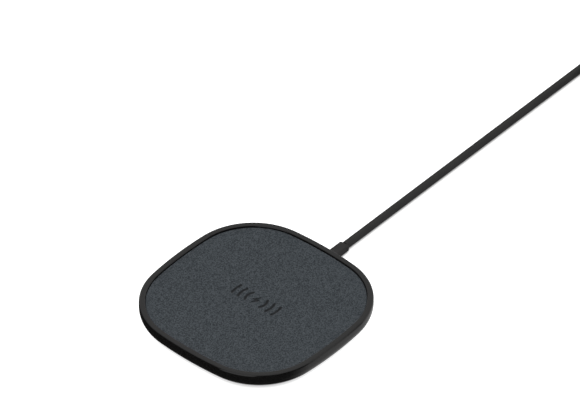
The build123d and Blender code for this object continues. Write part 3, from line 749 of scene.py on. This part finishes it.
along_x = g.math("SUBTRACT", SIDE_R, reach_from(g.math("ADD", ax, _k), ay))
along_y = g.math("SUBTRACT", SIDE_R, reach_from(ax, g.math("ADD", ay, _k)))
qx, qy = g.math("SUBTRACT", ax, _c), g.math("SUBTRACT", ay, _c)
at_corner = g.math(
    "MULTIPLY",
    g.math("GREATER_THAN", qy, g.math("MULTIPLY", qx, math.tan(_half))),
    g.math("GREATER_THAN", qx, g.math("MULTIPLY", qy, math.tan(_half))),
)
inset = g.mixf(at_corner, g.math("MINIMUM", along_x, along_y), g.math("SUBTRACT", CORNER_R, reach_from(qx, qy)))
# Painted shadow under the pad: the glow is full at 3.2 mm in from the outline and gone at 7.4 mm.
pad_painted_shadow = g.ramp(inset, 3.2, 7.4, 1.0, 0.0, smooth=False)
# Painted shadow: the pad's ramp where y is below 46 mm, the lead's occlusion shade beyond 52 mm, blended between.
painted_contact_shadow = g.mixf(g.ramp(fy, 46.0, 52.0), pad_painted_shadow, g.ramp(lead_painted_shadow, 0.10, 0.78, smooth=False))
glow = g.node(
    "ShaderNodeEmission",
    {"Color": grey(1.0), "Strength": g.math("MULTIPLY", g.mixf(paper, 0.94, 0.96), painted_contact_shadow)},
)
lit = g.node("ShaderNodeAddShader")
g.put(lit.inputs[0], bsdf.outputs[0])
g.put(lit.inputs[1], glow.outputs[0])
both = g.node("ShaderNodeMixShader")
g.put(both.inputs[0], seen_from)
g.put(both.inputs[1], lit.outputs[0])
g.put(both.inputs[2], through.outputs[0])
for n in floor_material.node_tree.nodes:
    if n.bl_idname == "ShaderNodeOutputMaterial":
        g.put(n.inputs["Surface"], both.outputs[0])

mesh = bpy.data.meshes.new("floor")
size = 60.0
mesh.from_pydata([(-size, -size, 0), (size, -size, 0), (size, size, 0), (-size, size, 0)], [], [(0, 1, 2, 3)])
mesh.materials.append(floor_material)
floor = bpy.data.objects.new("floor", mesh)
floor.location = (0, 0, -0.00005)
scene.collection.objects.link(floor)
floor.visible_glossy = False
floor.visible_shadow = False

world = bpy.data.worlds.new("studio")
scene.world = world
world.use_nodes = True
g = Graph(world.node_tree)
way = g.node("ShaderNodeTexCoord").outputs["Generated"]
xyz = g.node("ShaderNodeSeparateXYZ", {"Vector": way}).outputs


def product(*terms):
    out = terms[0]
    for term in terms[1:]:
        out = g.math("MULTIPLY", out, term)
    return out


# Directions are told apart by height and by compass angle, in degrees from +X towards +Y.
compass = g.math("DEGREES", g.math("ARCTAN2", xyz[1], xyz[0]))
# Overhead box, leaning to the back left.
overhead_axis = Vector((-0.30, 0.40, 0.86)).normalized()
overhead = g.ramp(g.dot(way, tuple(overhead_axis)), 0.55, 0.61)
# Tall box in front.
front = product(
    g.ramp(compass, -106.5, -104.5), g.ramp(compass, -54.0, -55.6), g.ramp(xyz[2], -0.34, -0.31),
    g.ramp(g.dot(way, tuple(overhead_axis)), 0.61, 0.55),
)
# Low card to the right and behind.
low_card = product(
    g.ramp(xyz[1], -0.08, 0.58), g.ramp(xyz[0], -0.55, -0.2), g.ramp(xyz[2], -0.06, -0.16),
    g.ramp(xyz[2], -0.97, -0.82),
)
# Slim upright beside it, a gap, and then the wall of light at the back.
upright = product(
    g.math("MAXIMUM", product(g.ramp(compass, 27.5, 30.0), g.ramp(compass, 41.5, 40.0)), g.ramp(compass, 50.5, 53.0)),
    g.ramp(compass, 178.0, 170.0), g.ramp(xyz[2], -0.16, -0.06),
    g.ramp(g.dot(way, tuple(overhead_axis)), 0.61, 0.55),
)
total = g.math("ADD", g.math("MULTIPLY", overhead, 0.60), 0.02)
total = g.math("ADD", total, g.math("MULTIPLY", front, 0.88))
total = g.math("ADD", total, g.math("MULTIPLY", low_card, 0.50))
total = g.math("ADD", total, g.math("MULTIPLY", upright, g.ramp(xyz[2], 0.30, 0.75, 1.05, 0.55)))
soft = g.node("ShaderNodeBackground", {"Color": grey(1.0), "Strength": total})
pale = g.node("ShaderNodeBackground", {"Color": grey(1.0), "Strength": 1.05})
camera_ray = g.node("ShaderNodeLightPath").outputs["Is Camera Ray"]
mixed = g.node("ShaderNodeMixShader")
g.put(mixed.inputs[0], camera_ray)
g.put(mixed.inputs[1], soft.outputs[0])
g.put(mixed.inputs[2], pale.outputs[0])
g.node("ShaderNodeOutputWorld", {"Surface": mixed.outputs[0]})


def softbox(name, place, aim, width, height, power, glossy=False):
    data = bpy.data.lights.new(name, "AREA")
    data.shape = "RECTANGLE"
    data.size, data.size_y = width, height
    data.energy = power
    made = bpy.data.objects.new(name, data)
    scene.collection.objects.link(made)
    made.location = place
    made.rotation_mode = "QUATERNION"
    made.rotation_quaternion = (Vector(aim) - Vector(place)).to_track_quat("-Z", "Y")
    made.visible_glossy = glossy
    made.visible_camera = False
    return made


softbox("overhead", (0.0, 0.1, 2.2), (0.0, 0.1, 0.0), 3.4, 3.4, 82.0)
softbox("left_fill", (-2.6, 0.4, 1.5), (0.0, 0.1, 0.0), 2.0, 2.0, 13.0)
softbox("right_fill", (2.6, -0.6, 1.5), (0.0, 0.1, 0.0), 2.0, 2.0, 13.0)
softbox("under", (0.0, 0.1, -1.6), (0.0, 0.1, 0.0), 2.4, 2.4, 42.0)
